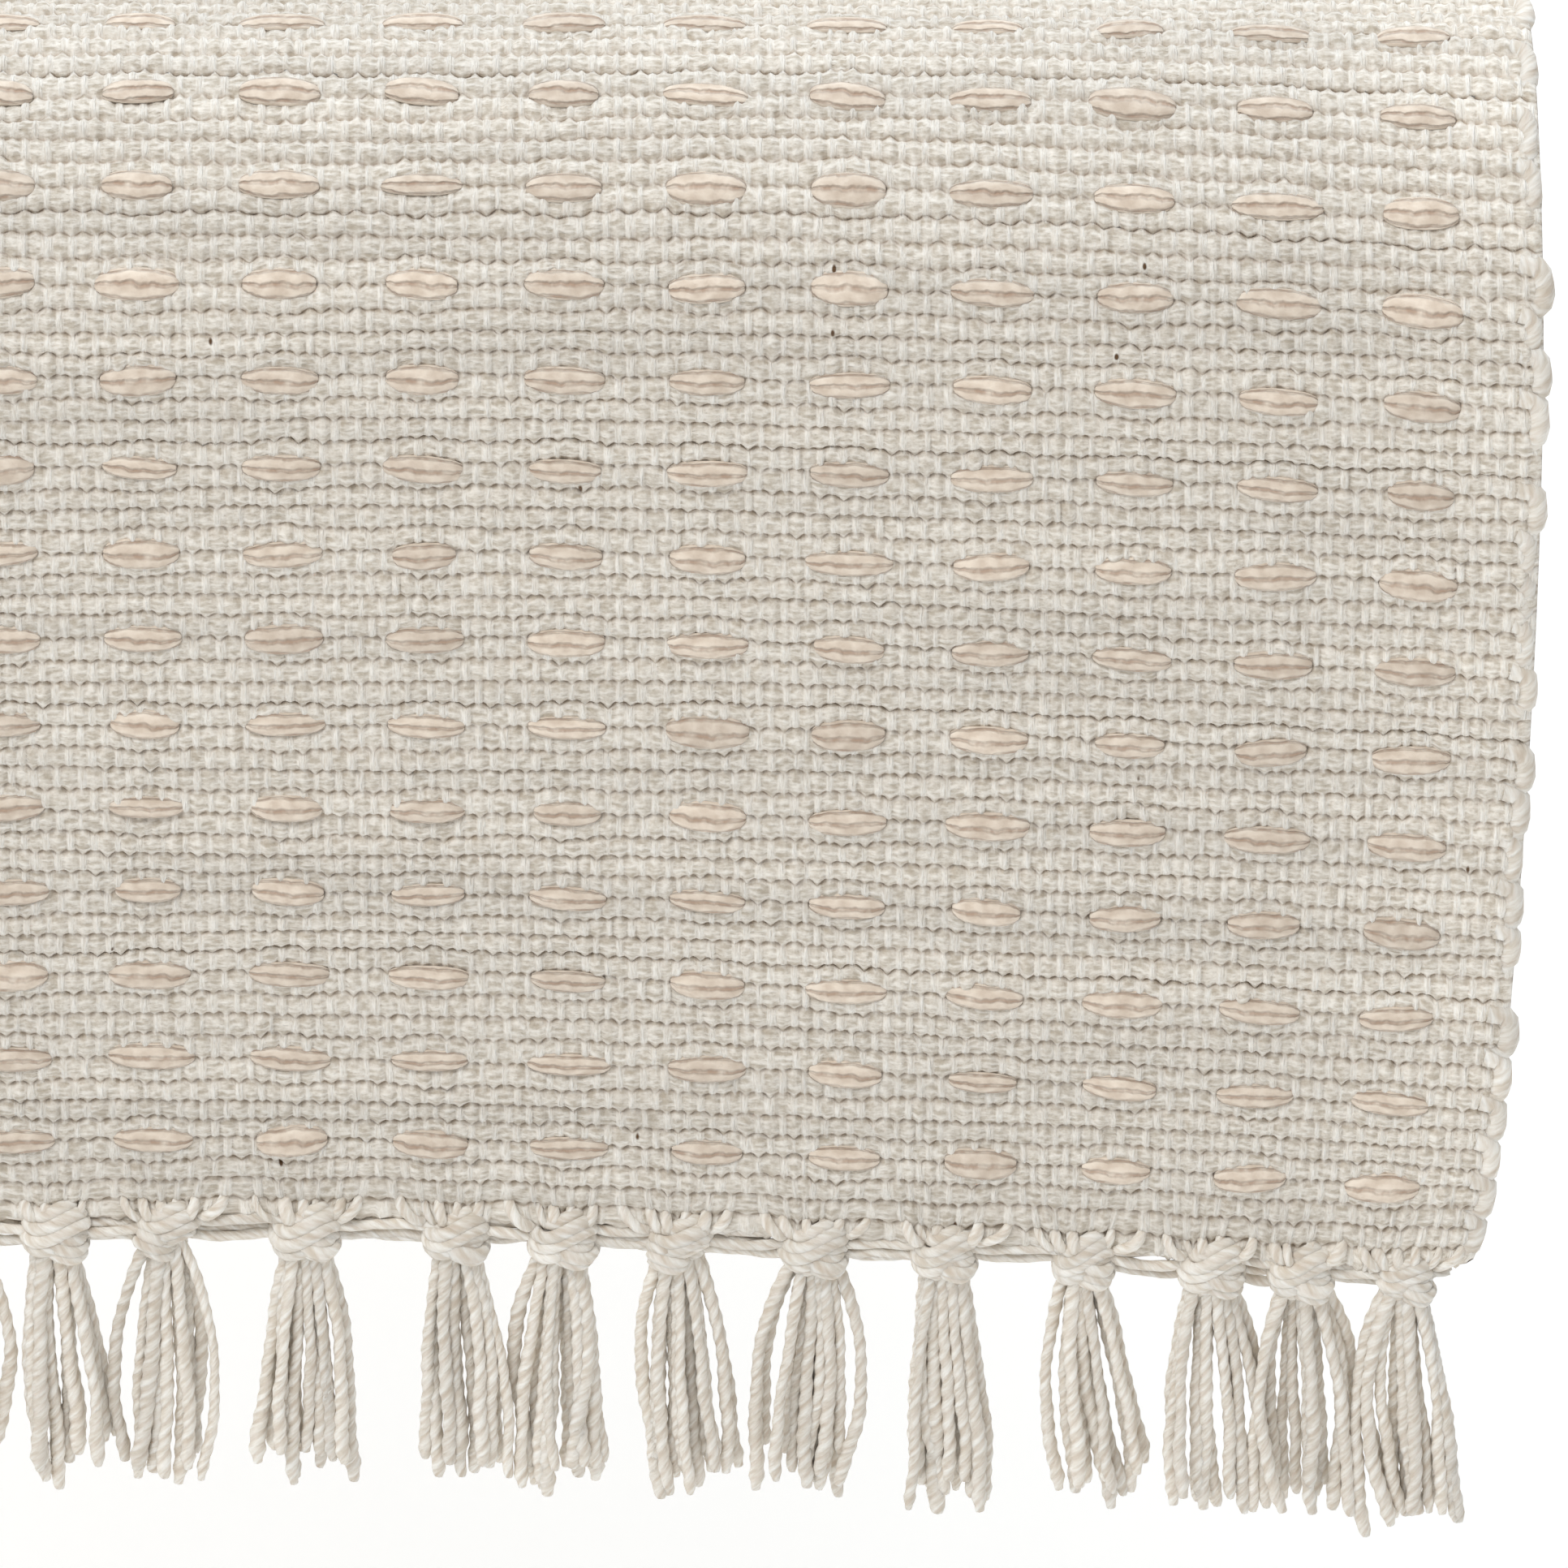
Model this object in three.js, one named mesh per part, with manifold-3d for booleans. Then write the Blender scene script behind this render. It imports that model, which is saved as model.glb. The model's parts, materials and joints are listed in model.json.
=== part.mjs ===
// A hand-woven cotton table runner, laid along a table and hanging over both of its ends.
//
// Millimetres. The origin is the middle of the cloth's underside where it lies on the table,
// +X runs across the runner, +Y along it and +Z up. The front end is the one at -Y.
//
// The cloth lies flat, turns over each end of the table and hangs straight down. It is limp, so
// it is cut where it folds: the flat top, two narrow fold strips and the drop, with a fold line
// between each two. Below each drop runs the header cord, the last bundle of weft, left loose.
// The warp ends are knotted round it as tassels, and each knot turns on the cord by itself.

import * as THREE from 'three';
import { mergeVertices } from 'three/addons/utils/BufferGeometryUtils.js';
import Module from 'manifold-3d';

const wasm = await Module();
wasm.setup();

// The cloth
const clothWidth = 406;          // from selvedge to selvedge
const clothThickness = 3.2;      // over the weft ribs
const flatLength = 1348;         // lying on the table, between the starts of the two bends
const dropLength = 131.7;        // hanging straight, from the end of the bend to the header cord
const hemDrawIn = 5;             // how much narrower each side of the hem is than the top
const cornerDroop = 9.7;         // how much lower the hem's corners hang than its middle
const droopPower = 1.6;          // how that grows towards the corners

// The bend over the table's end is three arcs of equal angle, tight first and slacker below
const bendRadii = [22, 38, 66];
const foldAngle = Math.PI / 2 / bendRadii.length;
const foldClearance = 0.35;      // each strip's end to the fold line, beyond what its thickness needs

// The header cord
const headerDiameter = 3;
const headerSag = 1.2;           // how far it hangs between two knots
const headerTail = 4;            // how far its ends stand out past the last knots
const headerSides = 8;
const headerSteps = 4;           // along the cord, from one knot to the next

// The tassels
const tasselCount = 22;          // along each hem
const tasselLength = 43;         // from the header cord's middle to the lowest thread ends
const hemInset = 11.5;           // the last knot's middle to the selvedge at the hem
const knotWidth = 8.4;           // across the runner
const knotWall = 1.7;            // the knotted threads round the header cord
const knotClearance = 1.1;       // round the header cord, which slopes a little through the knot
const hemClearance = 0.6;        // the highest point of a knot to the drop's lower edge
const skirtWidth = 15.6;         // the widest that the threads below a knot spread
const skirtDepth = 7;            // front to back
const neckWidth = 6.6;           // just under the knot
const tasselGap = 0.4;           // between two neighbouring skirts

// Hand-tied knots aren't evenly spaced: how far each stands off its even place, in pitches
const knotDrift = [
  0, 0.1, -0.1, -0.2, -0.05, 0.1, 0.2, 0.1, -0.1, -0.25, -0.34,
  -0.4, -0.24, 0.02, -0.08, -0.1, 0.03, 0.12, 0.29, 0.37, 0.12, 0,
];

// Worked out from the sizes above
const halfWidth = clothWidth / 2;
const bores = headerDiameter / 2 + knotClearance;
const knotRadius = bores + knotWall;
const tangents = bendRadii.map((radius) => radius * Math.tan(foldAngle / 2));
const cutBack = (clothThickness / 2) * Math.tan(foldAngle / 2) + foldClearance;

const cotton = { color: 0xd9d1c4, roughness: 0.95, metalness: 0 };
const headerCotton = { color: 0xd3c9ba, roughness: 0.95, metalness: 0 };
const tasselCotton = { color: 0xddd6ca, roughness: 0.95, metalness: 0 };

// The fold lines of one end, as distance along the runner and height, from the table outwards.
// Each is where the straight runs before and after its arc would meet.
function foldLines() {
  const lines = [[flatLength / 2 + tangents[0], clothThickness / 2]];
  for (let i = 1; i < bendRadii.length; i += 1) {
    const run = tangents[i - 1] + tangents[i];
    const [along, height] = lines[i - 1];
    lines.push([along + run * Math.cos(i * foldAngle), height - run * Math.sin(i * foldAngle)]);
  }
  return lines;
}

const folds = foldLines();
const [dropAlong, dropTop] = folds[folds.length - 1];
const headerHeight = dropTop - tangents[tangents.length - 1] - dropLength;

// How far the hem hangs below its middle, a power of the distance from it
function droopAt(x) {
  return cornerDroop * Math.abs(x / halfWidth) ** droopPower;
}

// The middles of one hem's knots, across the runner
function knotPlaces(drift) {
  const last = halfWidth - hemDrawIn - hemInset;
  const pitch = (2 * last) / (tasselCount - 1);
  return drift.map((share, i) => -last + (i + share) * pitch);
}

function namedMesh(name, geometry, finish) {
  const mesh = new THREE.Mesh(geometry, new THREE.MeshStandardMaterial(finish));
  mesh.name = name;
  return mesh;
}

function clothTop() {
  const length = 2 * (folds[0][0] - cutBack);
  const geometry = new THREE.BoxGeometry(clothWidth, length, clothThickness);
  geometry.translate(0, 0, clothThickness / 2);
  return namedMesh('cloth_top', geometry, cotton);
}

// A strip of cloth between two fold lines, sloping down by its share of the quarter turn
function foldStrip(name, number) {
  const [along, height] = folds[number - 1];
  const [nextAlong, nextHeight] = folds[number];
  const length = Math.hypot(nextAlong - along, nextHeight - height) - 2 * cutBack;
  const geometry = new THREE.BoxGeometry(clothWidth, length, clothThickness);
  const strip = namedMesh(name, geometry, cotton);
  strip.position.set(0, -(along + nextAlong) / 2, (height + nextHeight) / 2);
  strip.rotation.x = number * foldAngle;
  return strip;
}

// The hanging panel: narrower at the hem than at the top, with drooping corners. Its lower edge
// stays above the inner, higher corner of whichever knot is below it.
function dropPanel(name) {
  const hemHalf = halfWidth - hemDrawIn;
  const hemSteps = 12;
  const outline = new THREE.Shape();
  outline.moveTo(-halfWidth, dropTop - cutBack);
  for (let i = 0; i <= hemSteps; i += 1) {
    const x = hemHalf * (2 * i / hemSteps - 1);
    const innerCorner = Math.max(0, Math.abs(x) - knotWidth / 2);
    outline.lineTo(x, headerHeight + knotRadius + hemClearance - droopAt(innerCorner));
  }
  outline.lineTo(halfWidth, dropTop - cutBack);
  const geometry = new THREE.ExtrudeGeometry(outline, { depth: clothThickness, bevelEnabled: false });
  geometry.translate(0, 0, -clothThickness / 2);
  const panel = namedMesh(name, geometry, cotton);
  panel.rotation.x = Math.PI / 2;
  panel.position.y = -dropAlong;
  return panel;
}

// The cord runs level through the middle of each knot and hangs a little between two of them
function headerCord(name, knots) {
  const at = (x, height) => new THREE.Vector3(x, -dropAlong, height);
  const inKnot = knotWidth / 2;
  const heights = knots.map((x) => headerHeight - droopAt(x));
  const points = [at(knots[0] - inKnot - headerTail, heights[0] - headerSag)];
  knots.forEach((x, i) => {
    points.push(at(x - inKnot, heights[i]), at(x + inKnot, heights[i]));
    if (i < knots.length - 1) {
      points.push(at((x + knots[i + 1]) / 2, (heights[i] + heights[i + 1]) / 2 - headerSag));
    }
  });
  const end = knots.length - 1;
  points.push(at(knots[end] + inKnot + headerTail, heights[end] - headerSag));
  const section = new THREE.Shape();
  for (let i = 0; i < headerSides; i += 1) {
    const turn = (2 * Math.PI * (i + 0.5)) / headerSides;
    const x = (headerDiameter / 2) * Math.cos(turn);
    const y = (headerDiameter / 2) * Math.sin(turn);
    if (i === 0) section.moveTo(x, y);
    else section.lineTo(x, y);
  }
  const path = new THREE.CatmullRomCurve3(points);
  const geometry = new THREE.ExtrudeGeometry(section, {
    extrudePath: path, steps: headerSteps * tasselCount, bevelEnabled: false,
  });
  return namedMesh(name, geometry, headerCotton);
}

function toSolid(geometry) {
  const bare = geometry.clone();
  bare.deleteAttribute('normal');
  bare.deleteAttribute('uv');
  const merged = mergeVertices(bare, 1e-4);
  return new wasm.Manifold(new wasm.Mesh({
    numProp: 3,
    vertProperties: new Float32Array(merged.attributes.position.array),
    triVerts: new Uint32Array(merged.index.array),
  }));
}

function fromSolid(solid) {
  const { vertProperties, triVerts } = solid.getMesh();
  const geometry = new THREE.BufferGeometry();
  geometry.setAttribute('position', new THREE.BufferAttribute(vertProperties, 3));
  geometry.setIndex(new THREE.BufferAttribute(triVerts, 1));
  geometry.computeVertexNormals();
  return geometry;
}

// The knot as a ring that lies round the header cord, with its bore along X
function knotRing() {
  const ring = new THREE.Shape();
  ring.absarc(0, 0, knotRadius, 0, 2 * Math.PI);
  const bore = new THREE.Path();
  bore.absarc(0, 0, bores, 0, 2 * Math.PI, true);
  ring.holes.push(bore);
  const geometry = new THREE.ExtrudeGeometry(ring, {
    depth: knotWidth, bevelEnabled: false, curveSegments: 5,
  });
  geometry.translate(0, 0, -knotWidth / 2);
  geometry.rotateY(Math.PI / 2);
  return geometry;
}

// The threads below the knot, as one flattened bell from inside the knot's wall to their ends
function threadSkirt(width) {
  const top = bores + knotWall / 2;
  const profile = [
    [0, -top],
    [neckWidth / 2, -top],
    [neckWidth / 2, -knotRadius - 1],
    [0.9 * width / 2, -0.5 * tasselLength],
    [width / 2, -0.85 * tasselLength],
    [0.8 * width / 2, -tasselLength],
    [0, -tasselLength],
  ].reverse().map(([radius, height]) => new THREE.Vector2(radius, height));
  const geometry = new THREE.LatheGeometry(profile, 10, Math.PI / 10);
  geometry.rotateX(Math.PI / 2);
  geometry.scale(1, skirtDepth / skirtWidth, 1);
  return geometry;
}

function tassel(name, x, room) {
  const width = Math.min(skirtWidth, room - tasselGap);
  const knot = toSolid(knotRing());
  const threads = toSolid(threadSkirt(width));
  const piece = namedMesh(name, fromSolid(knot.add(threads)), tasselCotton);
  piece.position.set(x, -dropAlong, headerHeight - droopAt(x));
  return piece;
}

// One end of the runner, built at -Y: everything past the flat top
function hangingEnd(side, drift) {
  const end = new THREE.Group();
  end.add(foldStrip(`${side}_fold_upper`, 1));
  end.add(foldStrip(`${side}_fold_lower`, 2));
  end.add(dropPanel(`${side}_drop`));
  const knots = knotPlaces(drift);
  end.add(headerCord(`${side}_header_cord`, knots));
  knots.forEach((x, i) => {
    const before = i > 0 ? x - knots[i - 1] : Infinity;
    const after = i < knots.length - 1 ? knots[i + 1] - x : Infinity;
    const number = String(i + 1).padStart(2, '0');
    end.add(tassel(`${side}_tassel_${number}`, x, Math.min(before, after)));
  });
  return end;
}

const runner = new THREE.Group();
runner.add(clothTop());
runner.add(hangingEnd('front', knotDrift));
const rear = hangingEnd('rear', knotDrift);
rear.rotation.z = Math.PI;
runner.add(rear);

export default runner;
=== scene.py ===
"""A hand-woven cotton table runner: a thick plain weave with rows of blush dashes, laid along a
table, turned down over both ends and finished with knotted tassels.

Lengths are in millimetres until a mesh is made. A place on the cloth is given as (end, row): the
warp ends are counted across the runner from its left selvedge, the weft rows along it from the
rear hem, and whole numbers are the middles of yarns. Cloth height is measured from the middle of
the cloth's thickness, towards the face or towards the back.
"""
import json
import math

import bpy
import numpy as np
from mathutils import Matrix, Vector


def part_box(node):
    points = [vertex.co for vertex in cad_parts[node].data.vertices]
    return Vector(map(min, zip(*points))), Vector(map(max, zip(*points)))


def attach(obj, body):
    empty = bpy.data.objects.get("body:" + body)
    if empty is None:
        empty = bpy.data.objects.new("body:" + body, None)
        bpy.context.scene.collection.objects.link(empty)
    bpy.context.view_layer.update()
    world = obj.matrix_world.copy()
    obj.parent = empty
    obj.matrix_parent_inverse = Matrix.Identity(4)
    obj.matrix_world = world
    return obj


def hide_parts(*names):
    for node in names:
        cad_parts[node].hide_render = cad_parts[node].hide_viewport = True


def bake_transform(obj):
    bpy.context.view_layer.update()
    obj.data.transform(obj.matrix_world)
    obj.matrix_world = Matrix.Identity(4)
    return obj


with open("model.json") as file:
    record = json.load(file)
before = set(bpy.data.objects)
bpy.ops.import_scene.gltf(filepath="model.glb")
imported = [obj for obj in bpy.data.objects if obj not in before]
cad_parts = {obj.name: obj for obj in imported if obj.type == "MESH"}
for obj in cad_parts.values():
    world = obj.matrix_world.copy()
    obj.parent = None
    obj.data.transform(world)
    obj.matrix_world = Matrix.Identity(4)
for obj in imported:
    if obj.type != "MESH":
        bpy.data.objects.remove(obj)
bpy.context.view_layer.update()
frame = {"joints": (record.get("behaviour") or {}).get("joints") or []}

MM = 0.001
SIDES = {"front": 1, "rear": -1}  # the two ends, and the way each lies along the runner
rng = np.random.default_rng(72)

# ---------------------------------------------------------------- sizes

joint_at = {j["name"]: np.array(j.get("pos_m", (0, 0, 0))) / MM for j in frame["joints"]}
HALF_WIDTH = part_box("cloth_top")[1].x / MM
THICKNESS = (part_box("cloth_top")[1].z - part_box("cloth_top")[0].z) / MM

# The bend over the table's end: three arcs of equal angle, tight first and slacker below
BEND_RADII = (22, 38, 66)
FOLD_ANGLE = math.pi / 2 / len(BEND_RADII)
FLAT_HALF = -joint_at["fold_front"][1] - BEND_RADII[0] * math.tan(FOLD_ANGLE / 2)
BEND_ENDS = FLAT_HALF + FOLD_ANGLE * np.cumsum(BEND_RADII)
HEADER_OUT = -joint_at["fold_front_lower"][1]
MID_HEIGHT = THICKNESS / 2

# The weave
ENDS = 236
ROWS = 496
END_PITCH = 2 * HALF_WIDTH / ENDS
HEM_GAP = 3.0                     # from the last woven row to the header cord
ROUND_THE_BEND = BEND_ENDS[2]
DASH_ENDS = 12                    # warp ends from one dash to the next
DASH_ROWS = 4                     # weft rows from one row of dashes to the next
FIRST_DASH = 3.5                  # rows from the hem to the first row of dashes
DASH_COLUMNS = np.arange(-9, 10)  # counted from the middle of the cloth
SIDE_DROOP = 5.1                  # how far the edges slip down past the bend
HEM_DROOP = 9.7                   # and at the hem
HEM_DROOP_POWER = 1.6
HEM_DRAW_IN = 5.6                 # how much narrower each side of the hem is
HEM_DRAW_LENGTH = 130             # over how much of the drop it narrows
EDGE_EASE = 1.6                   # how much narrower each side of the flat top is
EDGE_EASE_REACH = 60              # how far either way from the bend's start that changes


def swing_joints(side):
    """The tassels' hinges of one end, in order of their numbers."""
    return [name for name in sorted(joint_at) if name.startswith(f"swing_{side}_")]


def hem_droop(x):
    """How much lower the hem hangs than at its middle."""
    return HEM_DROOP * np.abs(x / HALF_WIDTH) ** HEM_DROOP_POWER


middle_swing = min(swing_joints("front"), key=lambda n: abs(joint_at[n][0]))
HEADER_HEIGHT = joint_at[middle_swing][2] + hem_droop(joint_at[middle_swing][0])
HEADER_AT = ROUND_THE_BEND + (MID_HEIGHT - sum(
    r * (math.cos(i * FOLD_ANGLE) - math.cos((i + 1) * FOLD_ANGLE))
    for i, r in enumerate(BEND_RADII)) - HEADER_HEIGHT)
ROW_PITCH = 2 * (HEADER_AT - HEM_GAP) / (ROWS - 1)

NEAR_END = 104                    # warp ends left of this one are seen only from far away


def smoothstep(x, low, high):
    t = np.clip((x - low) / (high - low), 0, 1)
    return t * t * (3 - 2 * t)


# ---------------------------------------------------------------- the drape


def drape(along):
    """Distance along the cloth's middle layer to its line in the side view.

    Flat to FLAT_HALF, then each arc adds radius * (sin, cos) of the turned angle, then straight
    down. Gives how far out and how high the line is, and the angle it has turned through.
    """
    s = np.abs(along)
    out = np.minimum(s, FLAT_HALF)
    height = np.full_like(out, MID_HEIGHT)
    turned = np.zeros_like(out)
    start = FLAT_HALF
    for i, radius in enumerate(BEND_RADII):
        step = np.clip((s - start) / radius, 0, FOLD_ANGLE)
        before = i * FOLD_ANGLE
        out += radius * (np.sin(before + step) - math.sin(before))
        height -= radius * (math.cos(before) - np.cos(before + step))
        turned += step
        start += radius * FOLD_ANGLE
    height -= np.maximum(s - start, 0)
    return out, height, turned


def on_cloth(across, along, up):
    """A place on the cloth, across and along it and up from its middle, to a point in space.

    The hanging part is drawn in towards the hem and slips down at its edges: both grow with a
    power of the distance from the middle and with the distance down the drop.
    """
    s = np.abs(along)
    side = np.abs(across) / HALF_WIDTH
    hang = smoothstep(s, BEND_ENDS[1], HEADER_AT)
    eased = smoothstep(s, FLAT_HALF - EDGE_EASE_REACH, FLAT_HALF + EDGE_EASE_REACH)
    slipped = smoothstep(s, FLAT_HALF - 170, FLAT_HALF + 10)
    droop = SIDE_DROOP * side ** 2.6 * slipped * (1 - hang)
    droop = droop + HEM_DROOP * side ** HEM_DROOP_POWER * hang
    draw = EDGE_EASE * side * (1 - eased) - EDGE_EASE * side ** 3 * 0.6 * eased
    below = np.clip((s - (HEADER_AT - HEM_DRAW_LENGTH)) / HEM_DRAW_LENGTH, 0, 1.2)
    draw = draw + HEM_DRAW_IN * side ** 3 * below ** 1.8
    draw = draw + 3.0 * side ** 6 * np.exp(-np.maximum(HEADER_AT - s, 0) / 8)
    x = across - np.sign(across) * draw
    out, height, turned = drape(s + droop)
    out = out + up * np.sin(turned)
    height = height + up * np.cos(turned)
    return np.stack([x, -np.sign(along) * out, height], axis=-1)


def row_to_along(row):
    return (row - (ROWS - 1) / 2) * ROW_PITCH


def end_to_across(end):
    return (end - (ENDS - 1) / 2) * END_PITCH


# ---------------------------------------------------------------- irregular yarns


def blurred(noise, rows, ends):
    """Random numbers blurred along rows and ends, with the blur's widths in yarns, and scaled
    back to a spread of 1. The blur is a product with a bell curve in frequency."""
    f_rows = np.fft.fftfreq(noise.shape[0])[:, None]
    f_ends = np.fft.rfftfreq(noise.shape[1])[None, :]
    bell = np.exp(-2 * (math.pi * f_rows * rows) ** 2 - 2 * (math.pi * f_ends * ends) ** 2)
    made = np.fft.irfft2(np.fft.rfft2(noise) * bell, s=noise.shape)
    return made / made.std()


def drawn():
    """One random number for every crossing of the weave."""
    return rng.normal(size=(ROWS, ENDS))


slub = blurred(drawn(), 0.01, 5)          # thick and thin stretches of each weft bundle
pillow = drawn()                          # each weft crossing by itself
bar_wide = drawn()                        # each warp crossing by itself
bar_high = drawn()
bar_shift = drawn()
wander = blurred(drawn(), 2.2, 22)        # rows that wave a little, neighbours together
jostle = blurred(drawn(), 0.5, 9)         # and a little each by itself
end_wander = blurred(drawn(), 14, 1.2)    # warp ends that lean
shade = blurred(drawn(), 0.01, 14)        # paler and darker weft
fat = (rng.random((ROWS, ENDS)) > 0.965) * rng.random((ROWS, ENDS))  # odd fat crossings


def between(table, row, end):
    """Read a table at fractional rows and ends, by straight lines between its four neighbours."""
    r = np.clip(row, 0, ROWS - 1.001)
    e = np.clip(end, 0, ENDS - 1.001)
    r0, e0 = r.astype(int), e.astype(int)
    fr, fe = r - r0, e - e0
    return ((table[r0, e0] * (1 - fe) + table[r0, e0 + 1] * fe) * (1 - fr)
            + (table[r0 + 1, e0] * (1 - fe) + table[r0 + 1, e0 + 1] * fe) * fr)


def along_row(table, row, end):
    """Read a table in one whole row, by a straight line between neighbouring ends."""
    e = np.clip(end, 0, ENDS - 1.001)
    e0 = e.astype(int)
    return table[row, e0] * (1 - (e - e0)) + table[row, e0 + 1] * (e - e0)


# ---------------------------------------------------------------- the weave's surface

WEFT_RISE = 0.92                  # a weft bundle's crown over the cloth's middle
BAR_RISE = 1.36                   # a warp end's crown over a row
BAR_HALF_WIDTH = 0.60             # half a warp end's width where it shows
DASH_HALF = 7.0                   # half the length over which a dash pushes rows apart
DASH_PUSH = 0.27                  # how far it pushes them, in rows


def dash_push(end, row, face):
    """How far a dash pushes the rows beside it apart, in rows.

    Along the dash it is a squared cosine; across the rows it jumps to full within a tenth of a
    row from the valley that holds the dash, and fades out halfway to the next row of dashes.
    """
    across = end_to_across(end)
    repeat = DASH_ENDS * END_PITCH
    offset = 0 if face > 0 else repeat / 2
    from_dash = (across - offset + repeat / 2) % repeat - repeat / 2
    swell = np.cos(np.clip(from_dash / DASH_HALF, -1, 1) * math.pi / 2) ** 2
    inside = np.abs(across) < (DASH_COLUMNS[-1] + 0.5) * repeat
    from_valley = (row - FIRST_DASH + DASH_ROWS / 2) % DASH_ROWS - DASH_ROWS / 2
    far = np.abs(from_valley)
    fade = np.minimum(far / 0.1, 1) * (1 - np.clip((far - 0.1) / 1.9, 0, 1) ** 1.3)
    present = (row > FIRST_DASH - 2) & (row < ROWS - 1 - FIRST_DASH + 2)
    return DASH_PUSH * swell * fade * np.sign(from_valley) * inside * present


def weave_height(end, row, face, detail=True):
    """The weave's relief at (end, row), and how much of it is warp and how much is hollow.

    A weft row is a crown across, one minus a power of the distance from its middle, times a
    pillow along it, a sine that is low under each warp bar. A warp bar is a half ellipse across,
    times a root of a cosine along. The higher of the two shows. Bars stand over every other end,
    shifted by one end in the next row, and the back has those that the face lacks. Where four
    yarns meet at a row's edge the surface dips into a small hole. Without detail only the rows'
    crowns are left, at their average height.
    """
    j = np.clip(np.rint(row), 0, ROWS - 1).astype(int)
    i = np.clip(np.rint(end), 0, ENDS - 1).astype(int)
    tau = row - j
    over = (i + j + (face < 0)) % 2 == 0
    from_end = end - i
    near_bar = np.where(over, np.abs(from_end), 1 - np.abs(from_end))
    crown = 1 - np.abs(2 * tau) ** 2.3
    if not detail:
        ribs = 0.15 + 1.05 * crown * (1 + 0.13 * along_row(slub, j, end))
        return ribs, np.zeros_like(ribs), np.abs(2 * tau) ** 4
    thick = 1 + 0.14 * along_row(slub, j, end) + 0.18 * pillow[j, i] + 0.5 * fat[j, i]
    swell = 0.42 + 0.58 * np.sin(math.pi / 2 * near_bar)
    weft = 0.42 + WEFT_RISE * crown * swell * thick
    half = BAR_HALF_WIDTH * (1 + 0.14 * bar_wide[j, i])
    d = (from_end - 0.09 * bar_shift[j, i]) * END_PITCH
    section = np.sqrt(np.clip(1 - (d / half) ** 2, 0, 1))
    arch = np.cos(np.clip(tau * 0.97, -0.5, 0.5) * math.pi) ** 0.55
    bar = 0.20 + BAR_RISE * (1 + 0.09 * bar_high[j, i]) * arch * (0.45 + 0.55 * section)
    is_bar = over & (np.abs(d) < half) & (bar > weft)
    corner = (2 * np.abs(from_end)) ** 1.5
    hole = np.abs(2 * tau) ** 5 * corner
    height = np.where(is_bar, bar, weft) - 0.55 * hole
    dive = np.abs(2 * tau) ** 6 * np.exp(-((from_end * END_PITCH) / 0.42) ** 2)
    height = height + 0.38 * dive
    hollow = np.clip(np.abs(2 * tau) ** 6 * (0.30 + 0.70 * corner), 0, 1)
    return height, is_bar.astype(float), hollow


def weave_point(end, row, up, face):
    """(end, row, height) to space, with the rows' waves, the push of the dashes, the lean of the
    warp and, near a hem, the pull of the knots. A valley between two rows runs in a zigzag, a
    cosine across the ends, because each weft pillow swells over the ends of the bars beside it."""
    push = dash_push(end, row, face)
    j = np.rint(row)
    tau = row - j
    valley_below = np.where(tau > 0, j, j - 1)
    uneven = np.clip(1 + 0.6 * between(pillow, row, end), 0.1, 1.9)
    zigzag = -face * 0.075 * uneven * (2 * tau) ** 2 * np.cos(math.pi * (end + valley_below))
    zigzag = zigzag + 0.04 * (2 * tau) ** 2 * np.clip(between(bar_wide, row, end), -2, 2)
    waved = row + push + zigzag
    waved = waved + 0.13 * between(wander, row, end) + 0.06 * between(jostle, row, end)
    along = row_to_along(waved)
    across = end_to_across(end) + 0.11 * between(end_wander, row, end)
    from_hem = np.maximum(HEADER_AT - HEM_GAP - np.abs(along), -HEM_GAP)
    pull = np.exp(-np.maximum(from_hem, 0) / 5.5)
    towards, nearness = knot_pull(across, np.sign(along))
    across = across + 0.34 * towards * pull
    corner = np.exp(-np.maximum(HALF_WIDTH - np.abs(across), 0) / 4)
    along = along + np.sign(along) * pull * (1.3 * nearness - 0.4 - 2.4 * corner)
    return on_cloth(across, along, face * up)


def knots_of(side):
    """Where one hem's knots are across the runner, from left to right."""
    return np.sort([joint_at[name][0] for name in swing_joints(side)])


KNOTS = {side: knots_of(side) for side in SIDES}


def knot_pull(across, end_sign):
    """How far the nearest knot is to the side, and how near, from 0 midway between two to 1."""
    towards = np.zeros_like(across)
    nearness = np.zeros_like(across)
    for side, sign in SIDES.items():
        here = end_sign == sign
        knots = KNOTS[side]
        middles = (knots[1:] + knots[:-1]) / 2
        walls = np.concatenate([[2 * knots[0] - middles[0]], middles,
                                [2 * knots[-1] - middles[-1]]])
        which = np.searchsorted(middles, across[here])
        gap = knots[which] - across[here]
        reach = np.where(gap > 0, knots[which] - walls[which], walls[which + 1] - knots[which])
        share = np.clip(np.abs(gap) / reach, 0, 1)
        towards[here] = gap * (1 - share ** 3)
        nearness[here] = np.cos(share * math.pi / 2) ** 2
    return towards, nearness


# ---------------------------------------------------------------- meshes


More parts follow.
